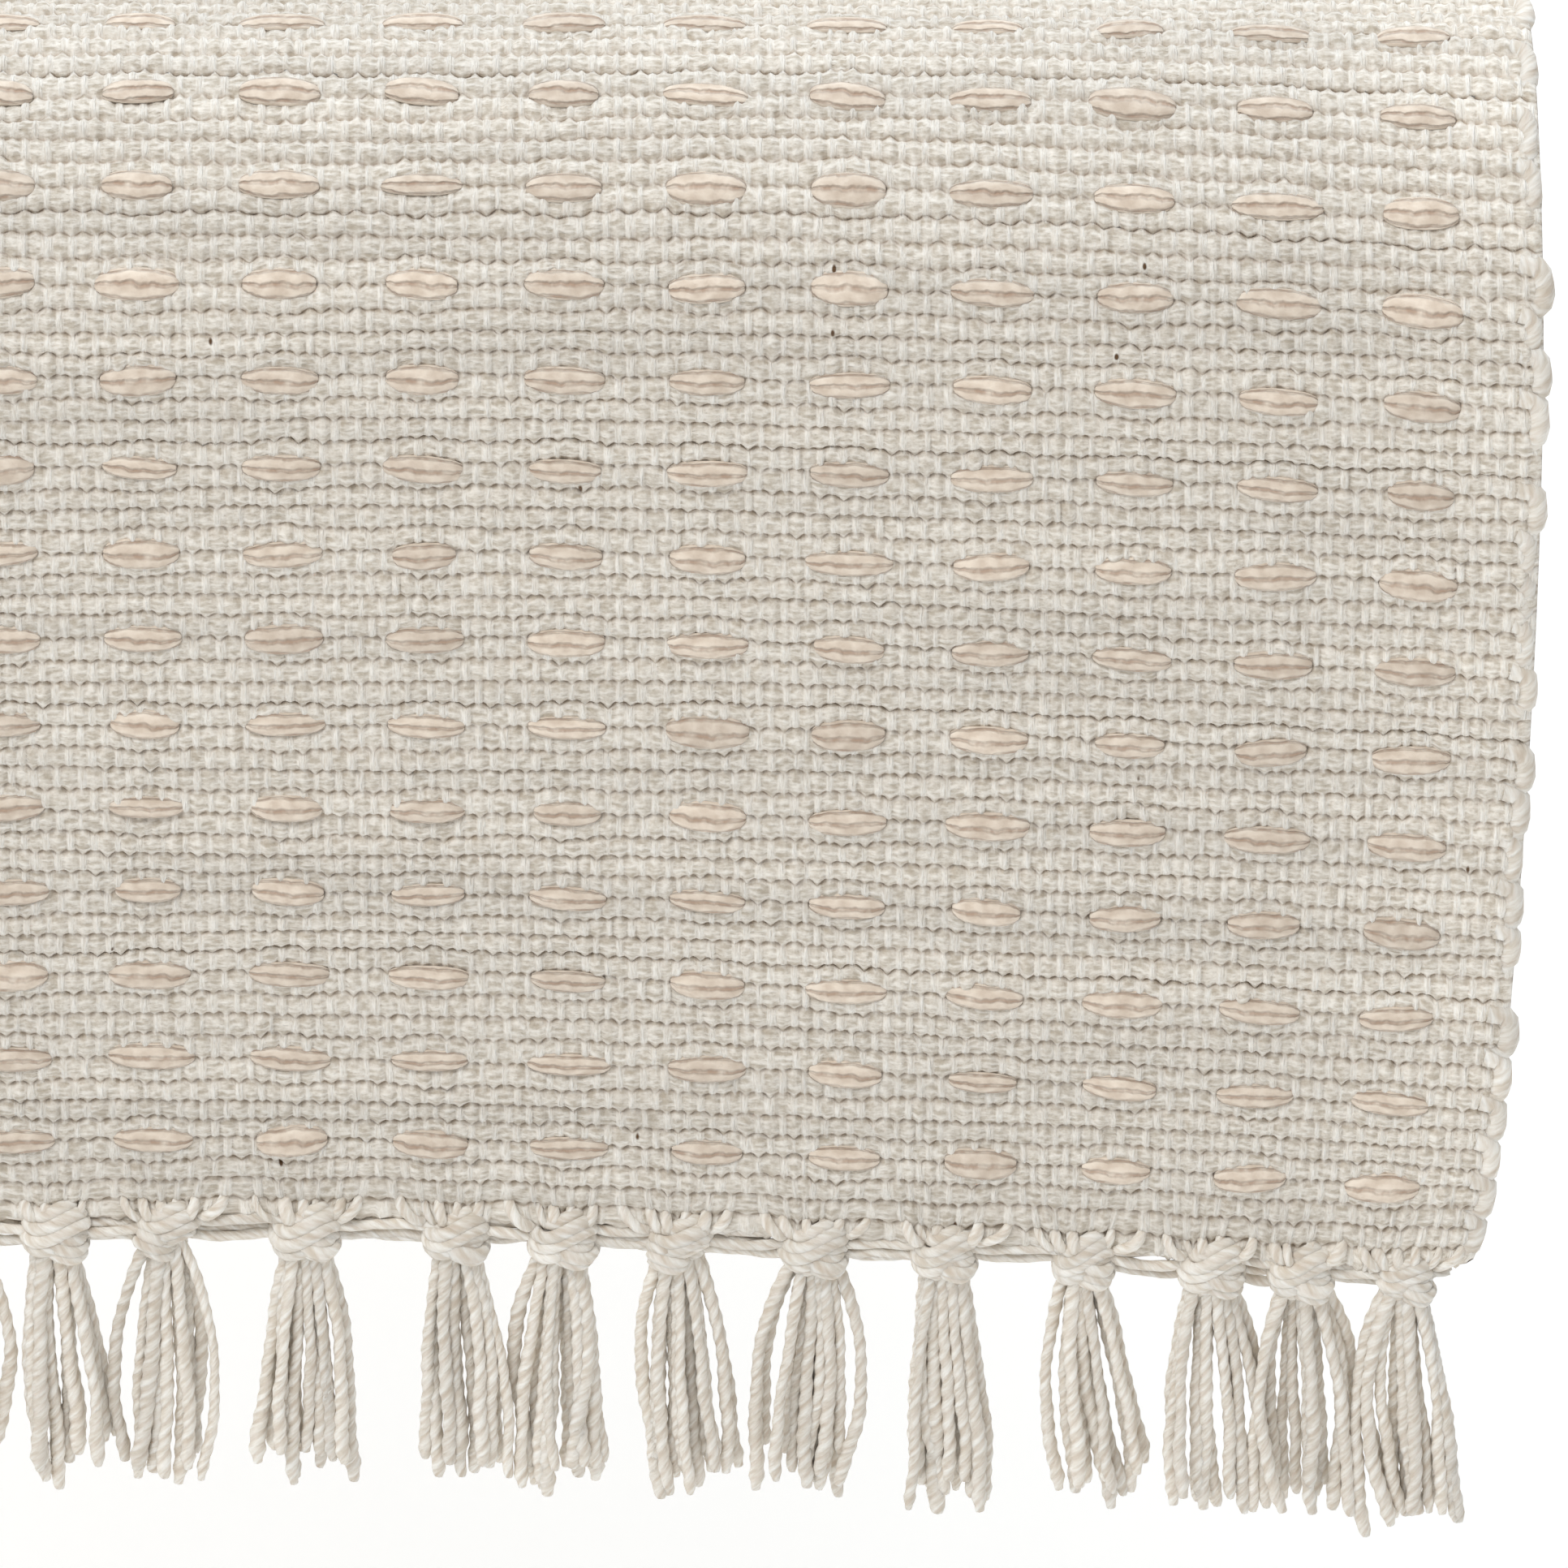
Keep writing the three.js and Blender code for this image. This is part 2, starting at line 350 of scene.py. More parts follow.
def make_piece(name, parts, material, back=None):
    """A smooth mesh joined from parts, each a set of points in millimetres, arrays of faces (one
    for each number of corners), a UV for every point, and values carried by its points. A back
    material goes on the second array of faces, which is the back of a stretch of cloth."""
    points, uvs, faces, first = [], [], [], 0
    for part_points, part_faces, part_uvs, _ in parts:
        points.append(part_points.reshape(-1, 3))
        uvs.append(part_uvs.reshape(-1, 2))
        faces += [f + first for f in part_faces]
        first += len(points[-1])
    points = np.concatenate(points)
    uvs = np.concatenate(uvs).astype(np.float32)
    corners = np.concatenate([f.ravel() for f in faces])
    counts = np.concatenate([np.full(len(f), f.shape[1]) for f in faces])
    mesh = bpy.data.meshes.new(name)
    mesh.vertices.add(len(points))
    mesh.vertices.foreach_set("co", (points * MM).astype(np.float32).ravel())
    mesh.loops.add(len(corners))
    mesh.loops.foreach_set("vertex_index", corners.astype(np.int32))
    mesh.polygons.add(len(counts))
    starts = np.concatenate([[0], np.cumsum(counts)[:-1]])
    mesh.polygons.foreach_set("loop_start", starts.astype(np.int32))
    mesh.polygons.foreach_set("use_smooth", np.ones(len(counts), bool))
    layer = mesh.uv_layers.new(name="UVMap")
    layer.data.foreach_set("uv", uvs[corners].ravel())
    for carried in parts[0][3]:
        values = np.concatenate([part[3][carried].ravel() for part in parts])
        attribute = mesh.attributes.new(carried, "FLOAT", "POINT")
        attribute.data.foreach_set("value", values.astype(np.float32))
    mesh.update(calc_edges=True)
    mesh.materials.append(material)
    if back:
        mesh.materials.append(back)
        which = np.zeros(len(counts), np.int32)
        which[len(faces[0]):len(faces[0]) + len(faces[1])] = 1
        mesh.polygons.foreach_set("material_index", which)
    piece = bpy.data.objects.new(name, mesh)
    bpy.context.scene.collection.objects.link(piece)
    return piece


def grid_faces(rows, columns, first=0):
    """The quads of a grid of points numbered row by row, facing up where rows run frontwards."""
    a = first + np.arange(rows - 1)[:, None] * columns + np.arange(columns - 1)[None, :]
    return np.stack([a, a + columns, a + columns + 1, a + 1], axis=-1).reshape(-1, 4)


def rim_faces(fine, coarse, ratio):
    """Faces between two edges, where each step of the coarse edge spans ratio fine steps."""
    step = np.arange(len(coarse) - 1)[:, None]
    along = fine[step * ratio + np.arange(ratio + 1)[None, :]]
    return np.concatenate([along, coarse[step + 1], coarse[step]], axis=1)


def cloth_slab(ends, rows, detail, row_ratio, end_ratio):
    """A closed stretch of cloth: the woven face on the full grid of ends and rows, the back with
    ribs only on every so many of its lines, and four rims. The cloth thins to a round edge at a
    selvedge: its height falls with the root of the distance from the outermost end."""
    end, row = np.meshgrid(ends, rows)

    def side(e, r, face, crossings):
        height, bar, hollow = weave_height(e, r, face, crossings)
        from_edge = np.minimum(e + 0.5, ENDS - 0.5 - e)
        height = height * np.sqrt(np.clip(from_edge / 1.2, 0.02, 1))
        shades = between(shade, r, e)
        uv = np.stack([e, r], axis=-1)
        return weave_point(e, r, height, face), uv, bar, hollow, shades

    face = side(end, row, 1, detail)
    back = side(end[::row_ratio, ::end_ratio], row[::row_ratio, ::end_ratio], -1, False)
    ny, nx = end.shape
    my, mx = back[0].shape[:2]
    front_ids = np.arange(ny * nx).reshape(ny, nx)
    back_ids = ny * nx + np.arange(my * mx).reshape(my, mx)
    faces = [
        grid_faces(ny, nx),
        grid_faces(my, mx, ny * nx)[:, ::-1],
        rim_faces(front_ids[0], back_ids[0], end_ratio),
        rim_faces(front_ids[-1], back_ids[-1], end_ratio)[:, ::-1],
        rim_faces(front_ids[:, 0], back_ids[:, 0], row_ratio)[:, ::-1],
        rim_faces(front_ids[:, -1], back_ids[:, -1], row_ratio),
    ]
    joined = [np.concatenate([a.reshape(-1, *a.shape[2:]), b.reshape(-1, *b.shape[2:])])
              for a, b in zip(face, back)]
    fields = {"bar": joined[2], "hollow": joined[3], "shade": joined[4]}
    return joined[0], faces, joined[1], fields


def tubes(paths, radii, outward, around, twist=0.0, lobes=0.0, loop=False, tint=None):
    """Yarns as tubes, many at once: paths is strands by steps by three.

    The profile is carried along each path: its radius at angle a is r(1 + lobes cos(2a - twist
    times the length so far)), so two plies seem to turn round each other. Angles start opposite
    the outward direction. A loop joins its last ring to its first, and open ends get a flat cap.
    """
    strands, steps = paths.shape[:2]
    if loop:
        tangent = np.roll(paths, -1, axis=1) - np.roll(paths, 1, axis=1)
    else:
        tangent = np.gradient(paths, axis=1)
    tangent /= np.linalg.norm(tangent, axis=-1, keepdims=True)
    normal = outward - (outward * tangent).sum(-1, keepdims=True) * tangent
    normal /= np.linalg.norm(normal, axis=-1, keepdims=True)
    side = np.cross(tangent, normal)
    lengths = np.linalg.norm(np.diff(paths, axis=1), axis=-1)
    so_far = np.concatenate([np.zeros((strands, 1)), np.cumsum(lengths, axis=1)], axis=1)
    if loop:
        whole = so_far[:, -1:] + np.linalg.norm(paths[:, :1] - paths[:, -1:], axis=-1)
        turns = np.round(twist * whole / (2 * math.pi)) * 2 * math.pi / whole
    else:
        turns = twist
    angle = math.pi + 2 * math.pi * np.arange(around) / around
    ply = 1 + lobes * np.cos(2 * angle[None, None, :] - (turns * so_far)[:, :, None])
    reach = (radii[:, :, None] * ply)[..., None]
    points = (paths[:, :, None, :] + reach * (np.cos(angle)[:, None] * normal[:, :, None, :]
                                             + np.sin(angle)[:, None] * side[:, :, None, :]))
    ids = np.arange(strands * steps * around).reshape(strands, steps, around)
    after = np.roll(ids, -1, axis=1) if loop else ids[:, 1:]
    here = ids if loop else ids[:, :-1]
    quads = np.stack([here, np.roll(here, -1, axis=2), np.roll(after, -1, axis=2), after], -1)
    faces = [quads.reshape(-1, 4)]
    if not loop:
        faces += [ids[:, -1], ids[:, 0, ::-1]]
    uv = np.stack(np.broadcast_arrays(angle[None, None, :] / (2 * math.pi),
                                      so_far[:, :, None] + 90 * rng.random((strands, 1, 1))),
                  axis=-1)
    # cleft: 1 where the two plies meet, where the yarn finishes paint shade
    cleft = np.broadcast_to(0.5 - 0.5 * (ply - 1) / max(lobes, 1e-6), ply.shape)
    tint = rng.normal(size=strands) if tint is None else tint
    fields = {"tint": np.broadcast_to(tint[:, None, None], ply.shape), "cleft": cleft}
    return points.reshape(-1, 3), faces, uv.reshape(-1, 2), fields


# ---------------------------------------------------------------- finishes


def new_finish(name, roughness):
    """A named material with soft fuzz on it, and its node tree and surface shader."""
    finish = bpy.data.materials.new(name)
    finish.use_nodes = True
    surface = finish.node_tree.nodes["Principled BSDF"]
    surface.inputs["Roughness"].default_value = roughness
    surface.inputs["Specular IOR Level"].default_value = 0.2
    surface.inputs["Sheen Weight"].default_value = 0.15
    surface.inputs["Sheen Roughness"].default_value = 0.6
    surface.inputs["Subsurface Weight"].default_value = 0.2
    surface.inputs["Subsurface Radius"].default_value = (1.0, 0.95, 0.9)
    surface.inputs["Subsurface Scale"].default_value = 0.0012
    return finish, finish.node_tree, surface


def put(tree, kind, inputs, **settings):
    """A node with its settings and inputs: a socket is linked, and anything else is set."""
    made = tree.nodes.new(kind)
    for key, value in settings.items():
        setattr(made, key, value)
    for key, value in inputs.items():
        if isinstance(value, bpy.types.NodeSocket):
            tree.links.new(value, made.inputs[key])
        else:
            made.inputs[key].default_value = value
    return made


def maths(tree, operation, *values):
    """The result of one sum on values or sockets."""
    return put(tree, "ShaderNodeMath", dict(enumerate(values)), operation=operation).outputs[0]


def eased(tree, value, low, high):
    """0 below low, 1 above high, smooth between."""
    ranged = put(tree, "ShaderNodeMapRange", {"Value": value, "From Min": low, "From Max": high},
                 interpolation_type="SMOOTHSTEP")
    return ranged.outputs["Result"]


def blended(tree, share, first, second):
    """One colour turning into another as the share goes from 0 to 1."""
    mixed = put(tree, "ShaderNodeMix", {0: share, 6: first, 7: second}, data_type="RGBA")
    return mixed.outputs[2]


def stretched_noise(tree, uv, stretch, detail=3.0):
    """Noise pulled out along one way of the UV map, like fibres lying in a yarn."""
    scaled = put(tree, "ShaderNodeVectorMath", {0: uv, 1: stretch}, operation="MULTIPLY")
    noise = put(tree, "ShaderNodeTexNoise",
                {"Vector": scaled.outputs[0], "Scale": 1.0, "Detail": detail})
    return noise.outputs["Fac"]


def field(tree, name):
    """A value that the mesh's points carry."""
    return put(tree, "ShaderNodeAttribute", {}, attribute_name=name).outputs["Fac"]


def linear(red, green, blue):
    """A colour as a maker's chart gives it, 0 to 255, to the shader's own scale."""
    channels = np.array([red, green, blue]) / 255
    low = channels / 12.92
    high = ((channels + 0.055) / 1.055) ** 2.4
    return (*np.where(channels <= 0.04045, low, high).tolist(), 1.0)


def woven_cotton(name, crossings_modelled):
    """Undyed cotton in a plain weave: creamy warp bars over duller weft, fibres along each yarn,
    warm shade in the hollows, a paler strip along each selvedge, and a few seed specks. Where
    the mesh is too coarse for single crossings the bars come from the weave coordinates: a bar
    covers the middle of every other end, shifted by one end in the next row."""
    finish, tree, surface = new_finish(name, 0.92)
    uv = put(tree, "ShaderNodeUVMap", {}, uv_map="UVMap").outputs[0]
    parts = put(tree, "ShaderNodeSeparateXYZ", {0: uv}).outputs
    if crossings_modelled:
        bar, hollow = field(tree, "bar"), field(tree, "hollow")
    else:
        end, row = maths(tree, "ROUND", parts[0]), maths(tree, "ROUND", parts[1])
        from_end = maths(tree, "ABSOLUTE", maths(tree, "SUBTRACT", parts[0], end))
        from_row = maths(tree, "ABSOLUTE", maths(tree, "SUBTRACT", parts[1], row))
        odd = maths(tree, "PINGPONG", maths(tree, "ADD", end, row), 1.0)
        over = maths(tree, "SUBTRACT", 1.0, odd)
        inside = maths(tree, "MULTIPLY", eased(tree, from_end, 0.36, 0.26),
                       eased(tree, from_row, 0.48, 0.40))
        bar = maths(tree, "MULTIPLY", over, inside)
        hollow = eased(tree, from_row, 0.30, 0.52)
    weft_fibres = stretched_noise(tree, uv, (0.8, 5.0, 1.0))
    warp_fibres = stretched_noise(tree, uv, (5.5, 1.5, 1.0))
    lying = put(tree, "ShaderNodeMix", {0: bar, 2: weft_fibres, 3: warp_fibres}).outputs[0]
    nap = stretched_noise(tree, uv, (2.6, 5.4, 1.0), 5.0)
    fibres = put(tree, "ShaderNodeMix", {0: 0.28, 2: lying, 3: nap}).outputs[0]
    weft = blended(tree, eased(tree, fibres, 0.30, 0.68), linear(188, 177, 160),
                   linear(242, 237, 228))
    warp = blended(tree, eased(tree, fibres, 0.28, 0.66), linear(221, 213, 200),
                   linear(248, 244, 236))
    cotton = blended(tree, bar, weft, warp)
    paler = eased(tree, field(tree, "shade"), -2.2, 2.2)
    from_middle = maths(tree, "ABSOLUTE", maths(tree, "SUBTRACT", parts[0], (ENDS - 1) / 2))
    # the value rises towards each selvedge, a paler strip along the outermost ends
    paler_near_selvedge = maths(tree, "MULTIPLY_ADD", eased(tree, from_middle, 99.0, 111.0), 0.08, 0.93)
    toned = put(tree, "ShaderNodeHueSaturation",
                {"Color": cotton, "Value": maths(tree, "MULTIPLY_ADD", paler, 0.12, paler_near_selvedge)})
    shadow = maths(tree, "MULTIPLY", hollow, 0.46)
    deep = blended(tree, shadow, toned.outputs[0], linear(158, 126, 96))
    spots = put(tree, "ShaderNodeTexVoronoi", {"Vector": uv, "Scale": 0.42}, feature="F1")
    chance = put(tree, "ShaderNodeSeparateColor", {0: spots.outputs["Color"]}).outputs[0]
    small = eased(tree, spots.outputs["Distance"], 0.10, 0.05)
    speck = maths(tree, "MULTIPLY", small, maths(tree, "GREATER_THAN", chance, 0.92))
    flecked = blended(tree, speck, deep, linear(96, 70, 44))
    tree.links.new(flecked, surface.inputs["Base Color"])
    raised = put(tree, "ShaderNodeBump",
                 {"Height": fibres, "Strength": 0.9, "Distance": 0.0009})
    tree.links.new(raised.outputs[0], surface.inputs["Normal"])
    return finish


def spun_cotton(name, dark, light, cleft_shade_colour, strands=0):
    """A loose yarn: fibres turning with its plies, painted shade where its two plies meet, each
    yarn its own tint. A bundle shows its strands as fine grooves along it, at equal steps round
    it, a little astray, with painted shade in patches along the grooves instead of at the plies."""
    finish, tree, surface = new_finish(name, 0.9)
    uv = put(tree, "ShaderNodeUVMap", {}, uv_map="UVMap").outputs[0]
    parts = put(tree, "ShaderNodeSeparateXYZ", {0: uv}).outputs
    turned = maths(tree, "MULTIPLY_ADD", parts[1], 0.0 if strands else -0.167, parts[0])
    lying = put(tree, "ShaderNodeCombineXYZ", {0: turned, 1: parts[1]}).outputs[0]
    fibres = stretched_noise(tree, lying, (6.0, 0.35, 1.0), 4.0)
    body = blended(tree, eased(tree, fibres, 0.25, 0.75), dark, light)
    tint = eased(tree, field(tree, "tint"), -2.5, 2.5)
    toned = put(tree, "ShaderNodeHueSaturation",
                {"Color": body, "Value": maths(tree, "MULTIPLY_ADD", tint, 0.16, 0.92)})
    # painted shade where the two plies meet, darkest in the cleft between them
    shadow = maths(tree, "MULTIPLY", eased(tree, field(tree, "cleft"), 0.5, 1.0), 0.26)
    relief = fibres
    if strands:
        astray = stretched_noise(tree, uv, (1.8, 0.30, 1.0), 3.0)
        place = maths(tree, "MULTIPLY_ADD", parts[0], float(2 * strands),
                      maths(tree, "MULTIPLY", astray, 0.9))
        groove = eased(tree, maths(tree, "PINGPONG", place, 0.5), 0.24, 0.0)
        patchy = eased(tree, stretched_noise(tree, uv, (3.0, 0.5, 1.0), 2.0), 0.30, 0.62)
        # for a bundle, painted shade in patches along its strand grooves instead
        shadow = maths(tree, "MULTIPLY", maths(tree, "MULTIPLY", groove, patchy), 0.62)
        relief = maths(tree, "MULTIPLY_ADD", groove, -0.9, fibres)
    deep = blended(tree, shadow, toned.outputs[0], cleft_shade_colour)
    tree.links.new(deep, surface.inputs["Base Color"])
    raised = put(tree, "ShaderNodeBump",
                 {"Height": relief, "Strength": 0.8, "Distance": 0.0006})
    tree.links.new(raised.outputs[0], surface.inputs["Normal"])
    return finish


close_weave = woven_cotton("natural_cotton_weave", True)
plain_weave = woven_cotton("natural_cotton_weave_plain", False)
# the last colour of each yarn is its painted shade colour, for the plies' cleft or the strands'
# grooves
blush_yarn = spun_cotton("blush_cotton_yarn", linear(209, 192, 174), linear(239, 226, 210),
                         linear(166, 128, 102), 3)
cream_yarn = spun_cotton("cream_cotton_yarn", linear(214, 203, 187), linear(249, 246, 239),
                         linear(186, 158, 130))

# ---------------------------------------------------------------- the cloth


def end_lines(near, far):
    """Where the grid's columns stand: near the right side close together, with two beside each
    edge of a warp bar, and fewer on the left."""
    near_ends = np.arange(NEAR_END, ENDS)[:, None] + np.array(near)[None, :]
    far_ends = np.arange(0, NEAR_END)[:, None] + np.array(far)[None, :]
    lines = np.concatenate([far_ends.ravel(), near_ends.ravel(), [ENDS - 0.5]])
    lines[0] = -0.5
    return lines


def row_lines(first, last, shares):
    """Where the grid's rows stand, from one valley to another, with a line in every valley."""
    count = int(round(last - first))
    lines = first + np.arange(count)[:, None] + np.array(shares)[None, :]
    return np.append(lines.ravel(), last)


FINE_ENDS = end_lines((-0.38, -0.22, 0.0, 0.22, 0.38), (-0.25, 0.25))
FINE_ROWS = (0.0, 0.1, 0.3, 0.5, 0.7, 0.9)
COARSE_ROWS = (0.0, 0.25, 0.5, 0.75)
COARSE_ENDS = np.linspace(-0.5, ENDS - 0.5, 60)
REAR_ENDS = np.linspace(-0.5, ENDS - 0.5, ENDS // 2 + 1)


def row_of(along):
    """The weft row at a distance along the cloth from its middle."""
    return along / ROW_PITCH + (ROWS - 1) / 2


def valley(along):
    """The valley between rows nearest to a distance along the cloth."""
    return math.floor(row_of(along)) + 0.5


# The cloth is cut into pieces along the valleys where the bend starts and each of its arcs ends
CUTS = [valley(FLAT_HALF), *[valley(end) for end in BEND_ENDS]]
TOP_FINE = 4                      # rows of the flat top nearest the front bend, woven in full
DROP_ROWS = 12                    # in each of the upper pieces of the drop
HEM = ROWS - 0.5
DROP_CUTS = [CUTS[3], CUTS[3] + DROP_ROWS, CUTS[3] + 2 * DROP_ROWS, HEM]


def cloth_piece(name, ends, first, last, shares, detail, ratios, material):
    """One piece of the cloth from row to row, with its back in the plainer finish."""
    slab = cloth_slab(ends, row_lines(first, last, shares), detail, *ratios)
    return make_piece(name, [slab], material, plain_weave)


def bend_point(along, sign):
    """A point of the cloth's middle, in metres, for the start or end of a bend."""
    point = on_cloth(np.array(0.0), np.array(sign * along), np.array(0.0))
    return tuple((point * MM).tolist())


MIDDLE = ROWS / 2 - 0.5
tops = []
for name, low, high in (("runner_top_rear_half", ROWS - 1 - CUTS[0], MIDDLE),
                        ("runner_top_front_half", MIDDLE, CUTS[0] - TOP_FINE)):
    half = cloth_piece(name, COARSE_ENDS, low, high, COARSE_ROWS, False, (2, 1), plain_weave)
    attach(half, "table_cloth")
    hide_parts("cloth_top")
    tops.append((half, low, high))
top_edge = cloth_piece("runner_top_front", FINE_ENDS, CUTS[0] - TOP_FINE, CUTS[0], FINE_ROWS,
                       True, (3, 5), close_weave)
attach(top_edge, "table_cloth")
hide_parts("cloth_top")

top_pieces = [*tops, (top_edge, CUTS[0] - TOP_FINE, CUTS[0])]
STARTS = (FLAT_HALF, BEND_ENDS[0], BEND_ENDS[1])
bend_pieces, drop_pieces = {}, {}


def bend_with(piece, side, arc):
    """Bake into its mesh the place of a piece on one arc of the bend. The points where the arc
    starts and ends are worked out and not used.
    """
    bend_point(STARTS[arc], SIDES[side])
    bend_point(BEND_ENDS[arc], SIDES[side])
    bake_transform(piece)


for side, sign in SIDES.items():
    fine = side == "front"
    look = (FINE_ROWS, True, (3, 5), close_weave) if fine else (
        COARSE_ROWS, False, (2, 1), plain_weave)
    columns = FINE_ENDS if fine else REAR_ENDS
    for i, part in enumerate(("crest", "shoulder", "slope")):
        low, high = (CUTS[i], CUTS[i + 1])
        if not fine:
            low, high = ROWS - 1 - high, ROWS - 1 - low
        bend = cloth_piece(f"runner_{side}_{part}", columns, low, high, *look)
        bend_with(bend, side, i)
        if i < 2:
            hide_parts(f"{side}_fold_{('upper', 'lower')[i]}")
        bend_pieces[side, i] = (bend, low, high)
    for i in range(3):
        low, high = DROP_CUTS[i], DROP_CUTS[i + 1]
        if not fine:
            low, high = ROWS - 1 - high, ROWS - 1 - low
        hanging = cloth_piece(f"runner_{side}_drop_{i + 1}", columns, low, high, *look)
        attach(hanging, f"{side}_drop")
        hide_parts(f"{side}_drop")
        drop_pieces[side, i] = (hanging, low, high)

# ---------------------------------------------------------------- the dashes


def dash_spindles(rows, face, steps, around):
    """Floating dashes of doubled blush yarn, one blunt spindle each: an oval profile as wide as
    a root of one minus the squared distance from its middle, and thinner than it is wide."""
    repeat = DASH_ENDS
    columns = DASH_COLUMNS if face > 0 else DASH_COLUMNS[1:] - 0.5
    middles = (ENDS - 1) / 2 + columns * repeat
    row, end = np.meshgrid(rows, middles, indexing="ij")
    row, end = row.ravel(), end.ravel()
    row = row + 0.03 * rng.normal(size=row.shape)
    half = (5.7 / END_PITCH) * (1 + 0.06 * rng.normal(size=row.shape))
    fat_by = 1 + 0.10 * rng.normal(size=row.shape)
    share = np.linspace(-1, 1, steps)[None, :, None]
    angle = (2 * math.pi * np.arange(around) / around)[None, None, :]
    share = np.sin(share * math.pi / 2)
    girth = np.sqrt(1.03 - share ** 2) ** 0.65
    wide = fat_by[:, None, None] * (2.2 / ROW_PITCH) * girth
    tilt = 0.06 * rng.normal(size=(len(row), 1, 1))
    e = end[:, None, None] + half[:, None, None] * share + 0 * angle
    r = row[:, None, None] + wide * np.cos(angle) + tilt * share
    up = 0.42 + 0.75 * girth + 1.05 * girth * np.sin(angle) * fat_by[:, None, None]
    across = end_to_across(e)
    points = on_cloth(across, row_to_along(r), face * up)
    ids = np.arange(points[..., 0].size).reshape(points.shape[:3])
    here, after = ids[:, :-1], ids[:, 1:]
    quads = np.stack([here, after, np.roll(after, -1, 2), np.roll(here, -1, 2)], -1)
    faces = [quads.reshape(-1, 4), ids[:, 0], ids[:, -1, ::-1]]
    if face < 0:
        faces = [f[:, ::-1] for f in faces]
    shape = points.shape[:3]
    uv = np.stack(np.broadcast_arrays(angle / (2 * math.pi) + 0 * e,
                                      share * half[:, None, None] * END_PITCH
                                      + 90 * rng.random((len(row), 1, 1)) + 0 * e), -1)
    tint = np.broadcast_to(rng.normal(size=(len(row), 1, 1)), shape)
    cleft = np.zeros(shape)
    return points.reshape(-1, 3), faces, uv.reshape(-1, 2), {"tint": tint, "cleft": cleft}


def dashes_on(name, low, high, steps, around, both_sides=True):
    """The dashes of one stretch of cloth, on its face, and on its back between those of the
    face where the back hangs free."""
    valleys = np.arange(FIRST_DASH, ROWS - 1, DASH_ROWS)
    mine = valleys[(valleys >= low) & (valleys < high)]
    if len(mine) == 0:
        return None
    sets = [dash_spindles(mine, 1, steps, around)]
    if both_sides:
        sets.append(dash_spindles(mine, -1, 7, 6))
    piece = make_piece(name, sets, blush_yarn)
    return piece


goes_with = {}  # the dashes and edge loops on each piece of cloth, by its name
for cloth, low, high in top_pieces:
    far = cloth is not top_edge
    made = dashes_on(f"{cloth.name}_dashes", low, high, 7 if far else 12, 6 if far else 10, False)
    if made:
        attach(made, "table_cloth")
        goes_with[cloth.name] = [made]
for (side, i), (cloth, low, high) in bend_pieces.items():
    made = dashes_on(f"{cloth.name}_dashes", low, high, 12, 10)
    if made:
        bend_with(made, side, i)
        goes_with[cloth.name] = [made]
for (side, i), (cloth, low, high) in drop_pieces.items():
    made = dashes_on(f"{cloth.name}_dashes", low, high, 12, 10)
    if made:
        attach(made, f"{side}_drop")
        goes_with[cloth.name] = [made]

# ---------------------------------------------------------------- the selvedges


def edge_loops(first, last, around, steps):
    """The weft turning back at both selvedges, one loop for every two rows: half an oval that
    leaves the cloth, bulges 1.5 mm past its edge and comes back two rows on."""
    at = np.arange(first + 0.5, last - 1.5, 2.0)[:, None]
    sets = []
    for side_sign, edge in ((-1, 1.2), (1, ENDS - 2.2)):
        share = np.linspace(0, 1, steps)[None, :]
        size = 1 + 0.16 * rng.normal(size=at.shape)
        bulge = (2.5 / END_PITCH) * size * np.sin(math.pi * share) ** 0.45
        end = edge + side_sign * (bulge - 0.3)
        row = at + 1.0 - 0.98 * np.cos(math.pi * share)
        lift = 0.35 * np.cos(math.pi * share) + 0.12 * rng.normal(size=at.shape)
        end, row, lift = np.broadcast_arrays(end, row, lift)
        paths = weave_point(end, row, lift, 1)
        above = weave_point(end, row, lift + 1, 1) - paths
        radii = np.broadcast_to(1.55 * (0.85 + 0.15 * size), end.shape)
        sets.append(tubes(paths, radii, above, around, twist=1.3, lobes=0.06))
    return sets


def loops_on(cloth, low, high, fine):
    """The edge loops of one piece of cloth."""
    sets = edge_loops(low, high, 8 if fine else 5, 8 if fine else 5)
    made = make_piece(f"{cloth.name}_edge", sets, cream_yarn)
    return made


for cloth, low, high in top_pieces:
    made = loops_on(cloth, low, high, cloth is top_edge)
    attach(made, "table_cloth")
    goes_with.setdefault(cloth.name, []).append(made)
for (side, i), (cloth, low, high) in bend_pieces.items():
    made = loops_on(cloth, low, high, side == "front")
    bend_with(made, side, i)
    goes_with.setdefault(cloth.name, []).append(made)
for (side, i), (cloth, low, high) in drop_pieces.items():
    made = loops_on(cloth, low, high, side == "front")
    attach(made, f"{side}_drop")
    goes_with.setdefault(cloth.name, []).append(made)

# ---------------------------------------------------------------- the hem and its tassels

HEADER_TAIL = 6.5                 # how far the slack weft goes on past the last knots
LOBE_RINGS = 3                    # the smaller rings low on one side of a knot


def header_line(x):
    """The height of the header cord."""
    return HEADER_HEIGHT - hem_droop(x)


def frontwards(paths, sign):
    """The outward direction of a hem at every point of some paths."""
    outward = np.zeros_like(paths)
    outward[..., 1] = -sign
    return outward


